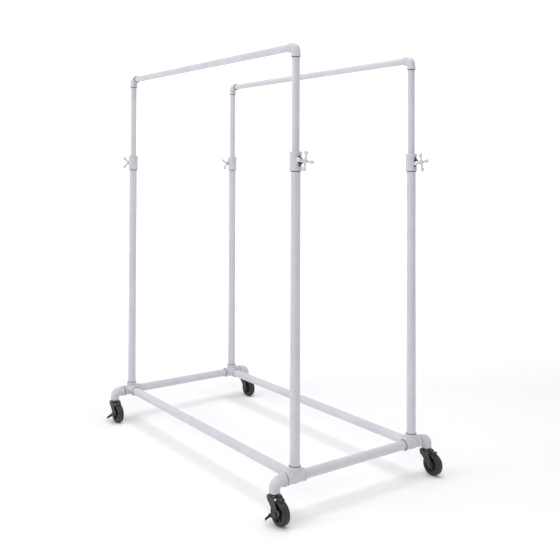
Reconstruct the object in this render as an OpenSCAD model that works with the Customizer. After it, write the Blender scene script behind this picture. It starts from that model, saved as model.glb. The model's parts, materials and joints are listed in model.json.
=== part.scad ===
// Double-rail rolling garment rack: a rectangular pipe base on four swivel casters,
// four tube posts, and two hang frames that slide up and down in the posts and are
// clamped by cross-handled screws.  Millimetres, +Z up, origin on the floor, centred
// between the four posts.  +X runs along the hang rails, -Y is the front.

/* [Frame] */
// Post centre to post centre along the hang rails
rack_length = 1180; // [900:10:1500]
// Distance between the front and the back posts
rack_depth = 516; // [420:2:700]
// Height of the base tube centres above the floor
base_height = 121; // [118:1:128]
// Height of the hang rail centres above the floor
hang_height = 1475; // [1400:1:1560]

/* [Tubes] */
// Outside diameter of the base tubes and lower posts
lower_tube_d = 32; // [30:0.5:34]
// Wall of the base tubes and lower posts
lower_tube_wall = 2; // [1.5:0.1:2.5]
// Outside diameter of the sliding posts and hang rails
upper_tube_d = 25; // [22:0.5:26]
// Wall of the sliding posts and hang rails
upper_tube_wall = 1.5; // [1.2:0.1:2]
// Length of a sliding post
upper_post_length = 914; // [820:1:960]

/* [Pipe fittings] */
// Half length of a corner tee along the rack's depth
tee_half = 37; // [34:1:39]
// Height of a corner tee's upright mouth above its centre
tee_branch = 34; // [32:1:42]
// Body diameter of the base fittings
fitting_d = 38; // [36:0.5:42]
// Diameter of the rolled band around a base fitting's mouth
fitting_band_d = 41.5; // [39:0.5:46]
// Width of the band around a fitting's mouth
fitting_band_w = 9; // [6:0.5:12]
// Distance from a post to its caster's swivel axis
stem_offset = 78; // [76:1:92]
// Drop of a foot elbow's lower end below the base tube centres
foot_drop = 30; // [29:1:36]
// Centre-to-end size of a top elbow
top_elbow_reach = 33; // [30:1:40]
// Band diameter of a top elbow
top_elbow_band_d = 32.5; // [30:0.5:36]

/* [Height couplings] */
// Height of a coupling's lower end above the floor
coupling_bottom = 1081; // [1000:1:1120]
// Length of a coupling
coupling_length = 61; // [58:1:76]
// Body diameter of a coupling
coupling_d = 39.5; // [38.5:0.5:40]
// Diameter of a coupling's end bands
coupling_band_d = 42; // [41:0.5:45]
// Height of the clamp screw above the coupling's lower end
clamp_rise = 31; // [30:1:36]
// Distance from the post axis to the end of the screw boss
boss_reach = 30; // [28:1:34]
// Diameter of the screw boss
boss_d = 20; // [16:0.5:22]

/* [Clamps] */
// Diameter of a clamp screw
clamp_screw_d = 10; // [8:1:10]
// Distance from the post axis to the middle of a cross handle
handle_reach = 49; // [47:1:58]
// Distance from a handle's middle to the centre of an arm's ball
handle_arm = 26.5; // [24:0.5:32]
// Diameter of the ball at the end of an arm
handle_ball_d = 13; // [10:0.5:14]

/* [Casters] */
// Wheel diameter
wheel_d = 76; // [70:1:78]
// Tread width
wheel_w = 24; // [20:1:26]
// Distance from the swivel axis to the axle
caster_trail = 30; // [26:1:34]

/* [Hidden] */
$fn = 72;
corner_names = ["front_left", "front_right", "back_left", "back_right"];
base_rail_names = ["front_base_rail", "back_base_rail", "left_base_rail", "right_base_rail"];
shared_names = ["foot_nipples", "caster_stems", "swivel_races", "guide_sleeves"];
hang_rail_names = ["front_hang_rail", "back_hang_rail"];
corner_parts = ["tee", "foot_elbow", "lower_post", "coupling", "upper_post", "top_elbow",
    "clamp_pad", "clamp_screw", "handle", "fork", "wheel", "axle"];

// Which side each corner is on: -1 is left or front, +1 is right or back
side_x = [-1, 1, -1, 1];
side_y = [-1, -1, 1, 1];
// How far each cross handle is turned from upright
handle_turn = [45, -8, -31, 10];

tube_seat = lower_tube_d / 2 + 1;   // inner end of a tube, from a fitting's centre
nipple_seat = 17;                   // how far a nipple screws into each fitting
mouth_recess = 3;                   // shadow gap around a tube where it enters a fitting
mouth_gap = 1.2;                    // radial width of that gap
nipple_d = 27;                      // threaded nipple between a tee and a foot elbow
nipple_gap = stem_offset - tee_half - 38;
foot_reach = stem_offset - tee_half - nipple_gap;
foot_leg_d = 34;                    // body of a foot elbow's lower leg
bend_r = 19;                        // centre-line radius of a foot elbow's bend
foot_bottom = base_height - foot_drop;
stem_d = 12;
stem_length = 26;
nut_h = 4.4;
nut_af = 22;
race_d = 40;
race_h = 3.6;
crown_top = foot_bottom - nut_h - race_h - 0.4;
crown_h = 2.8;
crown_d = 46;
axle_z = wheel_d / 2;
leg_inner = 14.5;
leg_t = 2.5;
bushing_d = 12;
axle_d = 8;
axle_head_h = 4.5;
axle_head_af = 13;
brake_t = 2.4;
brake_gap = 0.3;
running_gap = 0.06;                 // radial clearance of a turning fit
sleeve_gap = 0.08;                  // radial clearance of a sliding post in its sleeve
sleeve_length = 60;
coupling_seat = 22;                 // how far a lower post runs up into its coupling
pad_t = 2.5;
pad_gap = 0.3;
pad_face = upper_tube_d / 2 + pad_gap;
boss_z = coupling_bottom + clamp_rise;
post_top = coupling_bottom + coupling_seat;
upper_seat = top_elbow_reach - 15;  // inner end of a tube in a top elbow
top_bend_r = 15.6;
slot_e = 0.01;

module tube(d, wall, length) {
    difference() {
        cylinder(d = d, h = length);
        translate([0, 0, -1]) cylinder(d = d - 2 * wall, h = length + 2);
    }
}

// A tube laid along X, centred on the rack's middle
module x_tube(d, wall, length) {
    translate([-length / 2, 0, 0]) rotate([0, 90, 0]) tube(d, wall, length);
}

// Puts its children at a post's axis, with +X and +Y pointing outwards
module at_post(i, z = 0) {
    translate([side_x[i] * rack_length / 2, side_y[i] * rack_depth / 2, z])
        mirror([side_x[i] < 0 ? 1 : 0, 0, 0]) mirror([0, side_y[i] < 0 ? 1 : 0, 0])
            children();
}

// Puts its children at a post's axis, with only +X turned outwards
module at_clamp(i) {
    translate([side_x[i] * rack_length / 2, side_y[i] * rack_depth / 2, boss_z])
        mirror([side_x[i] < 0 ? 1 : 0, 0, 0]) children();
}

// Puts its children on a caster's swivel axis; every caster trails towards +X
module at_caster(i) {
    translate([side_x[i] * rack_length / 2, side_y[i] * (rack_depth / 2 + stem_offset), 0])
        children();
}

// A ring with softened outer edges, standing on z = 0
module band(d, w, bore = 0) {
    edge = 1.2;
    rotate_extrude() polygon([[bore / 2, 0], [d / 2 - edge, 0], [d / 2, edge],
        [d / 2, w - edge], [d / 2 - edge, w], [bore / 2, w]]);
}

// A fitting's leg: a round body with a band at its far end, from z = 0 to length
module leg(d, band_d, band_w, length) {
    cylinder(d = d, h = length - 1);
    translate([0, 0, length - band_w]) band(band_d, band_w);
}

// The space a tube needs in a leg: its seat and the shadow gap at the mouth
module socket(d, length, seat) {
    translate([0, 0, seat]) cylinder(d = d, h = length - seat + 1);
    translate([0, 0, length - mouth_recess]) cylinder(d = d + 2 * mouth_gap, h = mouth_recess + 1);
}

// ---- base rails ----

module long_base_rail(sy) {
    color("gainsboro") translate([0, sy * rack_depth / 2, base_height])
        x_tube(lower_tube_d, lower_tube_wall, rack_length - 2 * tube_seat);
}

module short_base_rail(sx) {
    color("gainsboro") translate([sx * rack_length / 2, 0, base_height])
        rotate([0, 0, 90]) x_tube(lower_tube_d, lower_tube_wall, rack_depth - 2 * tube_seat);
}

// ---- base fittings ----

// Side-outlet tee: run along Y, one branch up for the post and one inwards for the long rail
module tee(i) {
    color("gainsboro") at_post(i, base_height) difference() {
        union() {
            for (a = [90, -90]) rotate([a, 0, 0]) leg(fitting_d, fitting_band_d, fitting_band_w, tee_half);
            leg(fitting_d, fitting_band_d - 1.5, fitting_band_w, tee_branch);
            rotate([0, -90, 0]) leg(fitting_d, fitting_band_d - 1.5, fitting_band_w, tee_half);
            sphere(d = fitting_d + 1.5);
        }
        rotate([90, 0, 0]) socket(lower_tube_d, tee_half, tube_seat);
        rotate([-90, 0, 0]) translate([0, 0, tee_half - nipple_seat - 1])
            cylinder(d = nipple_d, h = tee_half);
        rotate([-90, 0, 0]) translate([0, 0, tee_half - mouth_recess])
            cylinder(d = nipple_d + 5, h = mouth_recess + 1);
        socket(lower_tube_d, tee_branch, tube_seat);
        rotate([0, -90, 0]) socket(lower_tube_d, tee_half, tube_seat);
        translate([0, tee_half, 0]) rotate([90, 0, 0]) cylinder(d = nipple_d - 3, h = 2 * tee_half - 1);
    }
}

module foot_nipples() {
    length = 2 * nipple_seat + nipple_gap;
    color("dimgray") for (i = [0:3]) at_post(i, base_height)
        translate([0, tee_half + nipple_gap / 2 - length / 2, 0]) rotate([-90, 0, 0])
            tube(nipple_d, 3, length);
}

// Quarter bend from the -Y direction down to -Z, about the elbow's own corner
module quarter_bend(d, r) {
    translate([0, -r, -r]) rotate([90, 0, 90]) rotate_extrude(angle = 90)
        translate([r, 0]) circle(d = d);
}

module foot_elbow(i) {
    color("gainsboro") at_post(i, base_height) translate([0, stem_offset, 0]) difference() {
        union() {
            translate([0, -bend_r, 0]) rotate([90, 0, 0])
                leg(fitting_d - 1, fitting_band_d, fitting_band_w, foot_reach - bend_r);
            quarter_bend(foot_leg_d + 1, bend_r);
            translate([0, 0, -foot_drop]) {
                cylinder(d = foot_leg_d, h = foot_drop - bend_r);
                band(foot_leg_d + 3, 6);
            }
        }
        translate([0, -foot_reach + nipple_seat + 1, 0]) rotate([90, 0, 0])
            cylinder(d = nipple_d, h = nipple_seat + 2);
        translate([0, -foot_reach + mouth_recess, 0]) rotate([90, 0, 0])
            cylinder(d = nipple_d + 5, h = mouth_recess + 1);
        translate([0, 0, -foot_drop - 1]) cylinder(d = stem_d, h = stem_length - nut_h + 1);
    }
}

// ---- posts ----

module lower_post(i) {
    start = base_height + tube_seat;
    color("gainsboro") at_post(i, start) tube(lower_tube_d, lower_tube_wall, post_top - start);
}

module guide_sleeves() {
    color("dimgray") for (i = [0:3]) at_post(i, post_top - sleeve_length) difference() {
        cylinder(d = lower_tube_d - 2 * lower_tube_wall, h = sleeve_length);
        translate([0, 0, -1]) cylinder(d = upper_tube_d + 2 * sleeve_gap, h = sleeve_length + 2);
    }
}

module coupling(i) {
    color("gainsboro") at_clamp(i) translate([0, 0, -clamp_rise]) difference() {
        union() {
            cylinder(d = coupling_d, h = coupling_length - 1);
            band(coupling_band_d, 5);
            translate([0, 0, coupling_length - 8]) band(coupling_band_d, 8);
            translate([0, 0, clamp_rise]) rotate([0, 90, 0]) {
                cylinder(d = boss_d, h = boss_reach - 1);
                cylinder(d1 = coupling_d - 1.5, d2 = boss_d + 0.4, h = boss_reach - 4);
                translate([0, 0, boss_reach - 4]) band(boss_d + 2, 4);
            }
        }
        translate([0, 0, -1]) cylinder(d = lower_tube_d, h = coupling_seat + 1);
        translate([0, 0, -1]) cylinder(d = lower_tube_d + 2 * mouth_gap, h = 3);
        translate([0, 0, -1]) cylinder(d = upper_tube_d + 1, h = coupling_length + 2);
        translate([0, 0, coupling_length - 2.5]) cylinder(d = upper_tube_d + 4, h = 4);
        translate([0, 0, clamp_rise]) rotate([0, 90, 0])
            cylinder(d = clamp_screw_d + 2 * running_gap, h = boss_reach + 1);
    }
}

module upper_post(i) {
    length = upper_post_length;
    color("whitesmoke") at_post(i, hang_height - upper_seat - length)
        tube(upper_tube_d, upper_tube_wall, length);
}

// ---- hang frames ----

module hang_rail(sy) {
    color("whitesmoke") translate([0, sy * rack_depth / 2, hang_height])
        x_tube(upper_tube_d, upper_tube_wall, rack_length - 2 * upper_seat);
}

// Elbow between a sliding post and its hang rail
module top_elbow(i) {
    body_d = top_elbow_band_d - 3.5;
    reach = top_elbow_reach - top_bend_r;
    color("whitesmoke") at_post(i, hang_height) difference() {
        union() {
            rotate([0, 0, -90]) quarter_bend(body_d + 0.4, top_bend_r);
            translate([-top_bend_r, 0, 0]) rotate([0, -90, 0]) leg(body_d, top_elbow_band_d, 8, reach);
            translate([0, 0, -top_bend_r]) rotate([180, 0, 0]) leg(body_d, top_elbow_band_d, 8, reach);
        }
        rotate([0, -90, 0]) socket(upper_tube_d, top_elbow_reach, upper_seat);
        rotate([180, 0, 0]) socket(upper_tube_d, top_elbow_reach, upper_seat);
    }
}

// ---- clamps ----

module clamp_pad(i) {
    color("goldenrod") at_clamp(i) translate([pad_face, 0, 0]) rotate([0, 90, 0])
        cylinder(d = clamp_screw_d - 0.6, h = pad_t);
}

module clamp_screw(i) {
    tip = pad_face + pad_t;
    collar = boss_reach + 4;
    color("dimgray") at_clamp(i) rotate([0, 90, 0]) {
        translate([0, 0, tip]) cylinder(d = clamp_screw_d, h = handle_reach + 3 - tip);
        translate([0, 0, collar]) band(clamp_screw_d + 5, 4);
    }
}

// Four ball-ended arms around a hub that is seated on the clamp screw
module handle(i) {
    hub_r = 7.5;
    hub_back = 8;
    hub_w = 13;
    arm_d = 6.6;
    arm_root = 5.6;
    color("white") at_clamp(i) translate([handle_reach, 0, 0]) rotate([handle_turn[i], 0, 0])
        difference() {
            union() {
                translate([-hub_back, 0, 0]) rotate([0, 90, 0]) rotate_extrude()
                    polygon([[0, 0], [hub_r - 1.2, 0], [hub_r, 1.2], [hub_r, hub_w - 2],
                        [hub_r - 2, hub_w], [hub_r - 4, hub_w + 2], [0, hub_w + 3]]);
                for (a = [0:90:270]) rotate([a, 0, 0]) {
                    translate([0, 0, arm_root]) cylinder(d = arm_d, h = handle_arm - arm_root);
                    translate([0, 0, handle_arm]) sphere(d = handle_ball_d);
                }
            }
            translate([-hub_back - 1, 0, 0]) rotate([0, 90, 0])
                cylinder(d = clamp_screw_d, h = hub_back + 4);
        }
}

// ---- casters ----

module caster_stems() {
    color("silver") for (i = [0:3]) at_caster(i) {
        translate([0, 0, crown_top - 6]) cylinder(d = stem_d, h = stem_length + foot_bottom - crown_top
            - nut_h + 6);
        translate([0, 0, foot_bottom - nut_h]) cylinder(d = nut_af / cos(30), h = nut_h, $fn = 6);
        translate([0, 0, crown_top - crown_h - 3.4]) cylinder(d = stem_d + 5, h = 3);
    }
}

module swivel_races() {
    color("silver") for (i = [0:3]) at_caster(i) translate([0, 0, crown_top + 0.4]) difference() {
        band(race_d, race_h, stem_d);
        translate([0, 0, -1]) cylinder(d = stem_d, h = race_h + 2);
    }
}

// Pressed fork: a round crown and two legs that reach back and down to the axle
module fork(i) {
    crown_bottom = crown_top - crown_h;
    boss_r = 10;
    color("dimgray") at_caster(i) difference() {
        union() {
            translate([0, 0, crown_bottom]) cylinder(d = crown_d, h = crown_h);
            for (s = [-1, 1]) translate([0, s * (leg_inner + leg_t / 2) + leg_t / 2, 0])
                rotate([90, 0, 0]) linear_extrude(leg_t) {
                    polygon([[-17, crown_top - slot_e], [17, crown_top - slot_e],
                        [caster_trail + boss_r - 0.5, axle_z + 4],
                        [caster_trail + 3, axle_z - boss_r + 0.5],
                        [caster_trail - 7, axle_z - 7], [-17, crown_bottom - 5]]);
                    translate([caster_trail, axle_z]) circle(r = boss_r);
                }
            translate([-17, -leg_inner - leg_t / 2, crown_bottom - 5])
                cube([2.5, 2 * leg_inner + leg_t, crown_h + 4.9]);
        }
        translate([0, 0, crown_bottom - 1]) cylinder(d = stem_d + 2 * running_gap, h = crown_h + 2);
        translate([caster_trail, 0, axle_z]) rotate([90, 0, 0])
            cylinder(d = axle_d, h = 4 * leg_inner, center = true);
    }
}

module axle(i) {
    braked = side_y[i] < 0;
    outer = leg_inner + leg_t;
    head_at = outer + (braked ? brake_t + 2 * brake_gap : 0);
    color("silver") at_caster(i) translate([caster_trail, 0, axle_z]) rotate([90, 0, 0]) {
        translate([0, 0, -outer - axle_head_h]) cylinder(d = axle_d, h = outer + axle_head_h + head_at);
        translate([0, 0, -leg_inner]) cylinder(d = bushing_d, h = 2 * leg_inner);
        translate([0, 0, head_at]) cylinder(d = axle_head_af / cos(30), h = axle_head_h, $fn = 6);
        translate([0, 0, -outer - axle_head_h])
            cylinder(d = axle_head_af / cos(30), h = axle_head_h, $fn = 6);
    }
}

module wheel(i) {
    r = wheel_d / 2;
    half = wheel_w / 2;
    tread_edge = 4;
    crown_r = 40;
    rim_r = r - 9;
    hub_r = 12;
    hub_half = leg_inner - 0.8;
    web_half = 5;
    color([0.1, 0.1, 0.11]) at_caster(i) translate([caster_trail, 0, axle_z]) rotate([90, 0, 0])
        rotate_extrude() {
            polygon([[bushing_d / 2 + running_gap, -hub_half], [hub_r, -hub_half],
                [hub_r, -web_half], [rim_r - 3, -web_half], [rim_r, -half], [r - tread_edge, -half],
                [r - tread_edge, half], [rim_r, half], [rim_r - 3, web_half], [hub_r, web_half],
                [hub_r, hub_half], [bushing_d / 2 + running_gap, hub_half]]);
            translate([r - tread_edge - 1, 0]) intersection() {
                translate([0, -half]) square([tread_edge + 1, wheel_w]);
                translate([tread_edge + 1 - crown_r, 0]) circle(r = crown_r, $fn = 180);
            }
        }
}

// Side brake: a cam plate on the axle bolt with a foot tongue that stands outwards
module brake(i) {
    plate_out = leg_inner + leg_t + brake_gap + brake_t;
    tongue_at = [-30, -9];
    tongue_out = 23;
    tongue_w = 15;
    color("dimgray") at_caster(i) translate([caster_trail, -plate_out, axle_z]) difference() {
        union() {
            translate([0, brake_t, 0]) rotate([90, 0, 0]) linear_extrude(brake_t) {
                circle(r = 11);
                polygon([[-2, 10.5], tongue_at + [-2, tongue_w / 2], tongue_at + [2, -tongue_w / 2],
                    [-4, -10]]);
            }
            translate([tongue_at[0], brake_t, tongue_at[1]]) rotate([-18, 0, 0])
                rotate([0, -15, 0]) translate([-brake_t / 2, -tongue_out - brake_t, -tongue_w / 2 + 0.5])
                    cube([brake_t, tongue_out + brake_t - 1, tongue_w - 1]);
        }
        rotate([90, 0, 0]) cylinder(d = axle_d + 2 * running_gap, h = 20, center = true);
    }
}

for (k = [0, 1]) {
    long_base_rail(2 * k - 1);
    short_base_rail(2 * k - 1);
    hang_rail(2 * k - 1);
    brake(k);
}
foot_nipples();
caster_stems();
swivel_races();
guide_sleeves();
for (i = [0:3]) {
    tee(i);
    foot_elbow(i);
    lower_post(i);
    coupling(i);
    upper_post(i);
    top_elbow(i);
    clamp_pad(i);
    clamp_screw(i);
    handle(i);
    fork(i);
    wheel(i);
    axle(i);
}
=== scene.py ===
"""Looks of a double-rail rolling garment rack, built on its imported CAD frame.

Every shape is worked out in millimetres, in the frame's own axes: +X along the hang
rails, -Y the front, +Z up from the floor.  A piece becomes metres when it is made.
"""

import json
import math

import bpy
import numpy as np
from mathutils import Matrix, Vector


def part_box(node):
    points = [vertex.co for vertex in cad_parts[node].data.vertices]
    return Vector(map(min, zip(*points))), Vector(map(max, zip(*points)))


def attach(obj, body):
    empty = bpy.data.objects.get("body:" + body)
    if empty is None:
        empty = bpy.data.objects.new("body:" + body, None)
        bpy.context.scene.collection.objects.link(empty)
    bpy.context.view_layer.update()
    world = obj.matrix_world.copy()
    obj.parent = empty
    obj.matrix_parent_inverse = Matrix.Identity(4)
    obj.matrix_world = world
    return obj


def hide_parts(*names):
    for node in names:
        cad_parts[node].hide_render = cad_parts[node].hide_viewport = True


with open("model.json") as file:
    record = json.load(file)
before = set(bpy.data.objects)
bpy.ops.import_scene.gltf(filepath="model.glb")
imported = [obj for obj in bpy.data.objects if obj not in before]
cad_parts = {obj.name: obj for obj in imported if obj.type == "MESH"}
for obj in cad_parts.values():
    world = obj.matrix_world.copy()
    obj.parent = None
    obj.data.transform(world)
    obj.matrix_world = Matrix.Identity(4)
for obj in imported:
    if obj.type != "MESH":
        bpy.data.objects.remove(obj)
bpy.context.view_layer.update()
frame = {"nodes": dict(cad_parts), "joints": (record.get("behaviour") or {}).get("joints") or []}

# ---------------------------------------------------------------- measures from the frame

CORNERS = ("front_left", "front_right", "back_left", "back_right")
JOINTS = {joint["name"]: joint for joint in frame["joints"]}


def box_mm(node):
    """A CAD node's lowest and highest corner, in millimetres."""
    low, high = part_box(node)
    return np.array(low) * 1000, np.array(high) * 1000


def middle(node):
    low, high = box_mm(node)
    return (low + high) / 2


def pivot(joint):
    """The point a joint turns about, in millimetres."""
    return np.array(JOINTS[joint]["pos_m"]) * 1000


def width(node, axis):
    low, high = box_mm(node)
    return (high - low)[axis]


BASE_Z = middle("front_base_rail")[2]
HANG_Z = middle("front_hang_rail")[2]
LOWER_R = width("front_base_rail", 2) / 2
UPPER_R = width("front_hang_rail", 2) / 2
LOWER_WALL = 2.0
UPPER_WALL = 1.5
TEE_HALF = width("front_left_tee", 1) / 2
TEE_BRANCH = box_mm("front_left_tee")[1][2] - BASE_Z
TUBE_SEAT = LOWER_R + 1
FOOT_BOTTOM = box_mm("front_left_foot_elbow")[0][2]
TOP_REACH = HANG_Z - box_mm("front_left_top_elbow")[0][2]
COUPLING_LOW = box_mm("front_left_coupling")[0][2]
COUPLING_LENGTH = width("front_left_coupling", 2)
CLAMP_RISE = pivot("front_left_clamp_turn")[2] - COUPLING_LOW
WHEEL_R = width("front_left_wheel", 2) / 2

# How far each cross handle is turned from upright, in degrees about +X
HANDLE_TURN = {"front_left": 45, "front_right": -8, "back_left": -31, "back_right": 10}

# ---------------------------------------------------------------- colours and materials


def linear(hex_colour):
    """A #RRGGBB colour, as a person reads it off paint, turned to linear light."""
    parts = [int(hex_colour[i:i + 2], 16) / 255 for i in (1, 3, 5)]
    return [p / 12.92 if p <= 0.04045 else ((p + 0.055) / 1.055) ** 2.4 for p in parts] + [1.0]


def add(tree, kind, inputs=None, **settings):
    """Adds one node. inputs maps a socket to its value, or to the output that feeds it."""
    made = tree.nodes.new(kind)
    for name, value in settings.items():
        setattr(made, name, value)
    for socket, value in (inputs or {}).items():
        if isinstance(value, bpy.types.NodeSocket):
            tree.links.new(value, made.inputs[socket])
        else:
            made.inputs[socket].default_value = value
    return made


def per_mm(size):
    """The texture scale that makes one pattern cell this many millimetres wide."""
    return 1000 / size


def grain(tree, size, detail=2.0, roughness=0.5):
    """Noise with cells of a real size in millimetres, fixed to the piece."""
    place = add(tree, "ShaderNodeTexCoord").outputs["Object"]
    made = add(tree, "ShaderNodeTexNoise", {"Vector": place, "Scale": per_mm(size),
                                            "Detail": detail, "Roughness": roughness})
    return made.outputs["Fac"]


def spread(tree, value, low, high, start=0.3, end=0.7):
    """Maps a noise value from start..end to low..high."""
    made = add(tree, "ShaderNodeMapRange", {"Value": value, "From Min": start, "From Max": end,
                                            "To Min": low, "To Max": high})
    return made.outputs["Result"]


def tint(tree, value, *stops):
    """A colour that runs through the stops, each (place, hex colour), as value grows."""
    ramp = add(tree, "ShaderNodeValToRGB", {"Fac": value})
    points = ramp.color_ramp.elements
    while len(points) < len(stops):
        points.new(0.5)
    for point, (place, colour) in zip(points, stops):
        point.position = place
        point.color = linear(colour)
    return ramp.outputs["Color"]


def relief(tree, height, depth, under=None):
    """A bump this many millimetres deep, on top of another bump if there is one."""
    inputs = {"Height": height, "Strength": 1.0, "Distance": depth / 1000}
    if under:
        inputs["Normal"] = under
    return add(tree, "ShaderNodeBump", inputs).outputs["Normal"]


def finish_material(name, shader_inputs, build):
    """A material whose one shader takes what build(tree) links, over the plain values."""
    made = bpy.data.materials.new(name)
    made.use_nodes = True
    tree = made.node_tree
    tree.nodes.clear()
    inputs = dict(shader_inputs)
    inputs.update(build(tree))
    shader = add(tree, "ShaderNodeBsdfPrincipled", inputs)
    add(tree, "ShaderNodeOutputMaterial", {"Surface": shader.outputs["BSDF"]})
    return made


def powder_coat_on_tube(tree):
    """Orange peel a couple of millimetres wide, and a coat that pools a little."""
    peel = relief(tree, grain(tree, 1.8, 1.0), 0.02)
    drift = grain(tree, 70, 2.0)
    return {"Base Color": tint(tree, drift, (0.3, "#C9C7CD"), (0.7, "#D0CED4")),
            "Roughness": spread(tree, grain(tree, 6, 3.0), 0.30, 0.42),
            "Normal": peel}


def powder_coat_on_casting(tree):
    """The same coat over sand-cast iron, whose grain and slow waves show through."""
    waves = relief(tree, grain(tree, 7, 2.0), 0.25)
    sand = relief(tree, grain(tree, 1.1, 3.0), 0.09, waves)
    drift = grain(tree, 22, 3.0)
    return {"Base Color": tint(tree, drift, (0.3, "#C5C3C9"), (0.7, "#CFCDD2")),
            "Roughness": spread(tree, grain(tree, 3, 3.0), 0.34, 0.50),
            "Normal": sand}


def handle_enamel(tree):
    """Dipped gloss enamel, slightly warmer than the powder coat, with soft dimples."""
    dimples = relief(tree, grain(tree, 4.5, 1.0), 0.05)
    drift = grain(tree, 12, 2.0)
    return {"Base Color": tint(tree, drift, (0.3, "#D0CFCF"), (0.7, "#D8D7D6")),
            "Roughness": spread(tree, grain(tree, 5, 2.0), 0.16, 0.26),
            "Normal": dimples}


def black_coat(tree):
    """Electro-coated pressed steel: a fine tooth, and duller rubbed patches."""
    tooth = relief(tree, grain(tree, 0.7, 2.0), 0.03)
    rub = grain(tree, 9, 4.0, 0.6)
    return {"Base Color": tint(tree, rub, (0.35, "#28292A"), (0.65, "#383939")),
            "Roughness": spread(tree, rub, 0.28, 0.52),
            "Normal": tooth}


def tread_rubber(tree):
    """Hard moulded rubber, matt where it has rolled, with grey floor dust in the pores."""
    pores = relief(tree, grain(tree, 0.9, 3.0), 0.06)
    dust = grain(tree, 5, 5.0, 0.65)
    return {"Base Color": tint(tree, dust, (0.42, "#252526"), (0.62, "#353637"), (0.75, "#484848")),
            "Roughness": spread(tree, dust, 0.48, 0.78),
            "Normal": pores}


def wheel_centre_plastic(tree):
    """Black polypropylene with the faint flow marks of moulding."""
    flow = relief(tree, grain(tree, 2.5, 3.0), 0.04)
    drift = grain(tree, 14, 2.0)
    return {"Base Color": tint(tree, drift, (0.3, "#121316"), (0.7, "#1D1E22")),
            "Roughness": spread(tree, grain(tree, 4, 2.0), 0.30, 0.44),
            "Normal": flow}


def bright_zinc(tree):
    """Passivated zinc plate: fine crystals, faint yellow and blue patches."""
    crystals = relief(tree, grain(tree, 0.6, 2.0), 0.02)
    patches = grain(tree, 8, 3.0)
    return {"Base Color": tint(tree, patches, (0.35, "#B9BEC8"), (0.5, "#C9CBD0"), (0.65, "#D2CDBB")),
            "Roughness": spread(tree, grain(tree, 2, 3.0), 0.22, 0.42),
            "Normal": crystals}


def thread_and_shade_finish(tree):
    """Oiled bare thread: dark, with pipe dope in the roots. The same dark finish is painted into sockets, the
    coupling slots and on the rivets under the fork crowns as painted shade.
    """
    dope = grain(tree, 1.4, 4.0, 0.6)
    return {"Base Color": tint(tree, dope, (0.35, "#2A2A2E"), (0.65, "#4A4A50")),
            "Roughness": spread(tree, dope, 0.40, 0.65),
            "Normal": relief(tree, dope, 0.08)}


def pad_brass(tree):
    """Turned brass, gone a little brown."""
    age = grain(tree, 3, 3.0)
    return {"Base Color": tint(tree, age, (0.3, "#A98643"), (0.7, "#C9A55C")),
            "Roughness": spread(tree, age, 0.28, 0.45),
            "Normal": relief(tree, grain(tree, 0.5, 2.0), 0.02)}


def sleeve_nylon(tree):
    """Moulded black nylon with a fine texture."""
    drift = grain(tree, 6, 2.0)
    return {"Base Color": tint(tree, drift, (0.3, "#1C1C1F"), (0.7, "#2A2A2D")),
            "Roughness": spread(tree, drift, 0.40, 0.52),
            "Normal": relief(tree, grain(tree, 0.8, 2.0), 0.04)}


def studio_floor(tree):
    """Matt seamless paper, very slightly mottled."""
    mottle = grain(tree, 600, 2.0)
    place = add(tree, "ShaderNodeTexCoord").outputs["Object"]
    behind = add(tree, "ShaderNodeVectorMath", {0: place, 1: (-0.81, 0.59, 0)}, operation="DOT_PRODUCT")
    glow = spread(tree, behind.outputs["Value"], 0.0, 0.55, 0.8, 4.0)
    return {"Base Color": tint(tree, mottle, (0.3, "#F9F9F9"), (0.7, "#FBFBFB")),
            "Roughness": spread(tree, mottle, 0.85, 0.95),
            "Emission Strength": glow}


PAINT = {"IOR": 1.5, "Specular IOR Level": 0.35, "Coat Weight": 0.12, "Coat Roughness": 0.18, "Coat IOR": 1.5}
METAL = {"Metallic": 1.0}
MATERIALS = {
    "tube_coat": finish_material("satin_powder_coat_on_tube", PAINT, powder_coat_on_tube),
    "cast_coat": finish_material("satin_powder_coat_on_casting", PAINT, powder_coat_on_casting),
    "enamel": finish_material("gloss_enamel_on_handle",
                              {"IOR": 1.52, "Coat Weight": 0.6, "Coat Roughness": 0.06}, handle_enamel),
    "black": finish_material("black_electro_coat", {"IOR": 1.5}, black_coat),
    "rubber": finish_material("hard_tread_rubber", {"IOR": 1.52}, tread_rubber),
    "centre": finish_material("wheel_centre_polypropylene", {"IOR": 1.49}, wheel_centre_plastic),
    "zinc": finish_material("bright_zinc_plate", METAL, bright_zinc),
    # Dark oiled thread, also laid into recesses as painted shade.
    "thread": finish_material("oiled_thread_and_painted_shade", METAL, thread_and_shade_finish),
    "brass": finish_material("turned_brass", METAL, pad_brass),
    "nylon": finish_material("moulded_nylon", {"IOR": 1.53}, sleeve_nylon),
    "floor": finish_material("backlit_paper", {"IOR": 1.45, "Specular IOR Level": 0.2,
                                              "Emission Color": (1, 1, 1, 1)},
                             studio_floor),
}

# ---------------------------------------------------------------- distance fields, in mm
# A field gives each point's distance to a surface: below zero is inside the metal.


def rod(p, start, end, radius, edge=0.0):
    """A flat-ended round bar whose two rims are rounded by edge."""
    start, end = np.array(start, float), np.array(end, float)
    length = np.linalg.norm(end - start)
    along = (end - start) / length
    offset = p - start
    t = offset @ along
    radial = np.sqrt(np.maximum((offset ** 2).sum(-1) - t * t, 0))
    side = radial - radius + edge
    cap = np.abs(t - length / 2) - length / 2 + edge
    return np.minimum(np.maximum(side, cap), 0) + np.hypot(np.maximum(side, 0),
                                                             np.maximum(cap, 0)) - edge


def block(p, centre, size, edge=0.0):
    """A box with every edge rounded."""
    q = np.abs(p - np.array(centre, float)) - np.array(size, float) / 2 + edge
    return np.minimum(q.max(-1), 0) + np.linalg.norm(np.maximum(q, 0), axis=-1) - edge


def ball(p, centre, radius):
    return np.linalg.norm(p - np.array(centre, float), axis=-1) - radius


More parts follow.
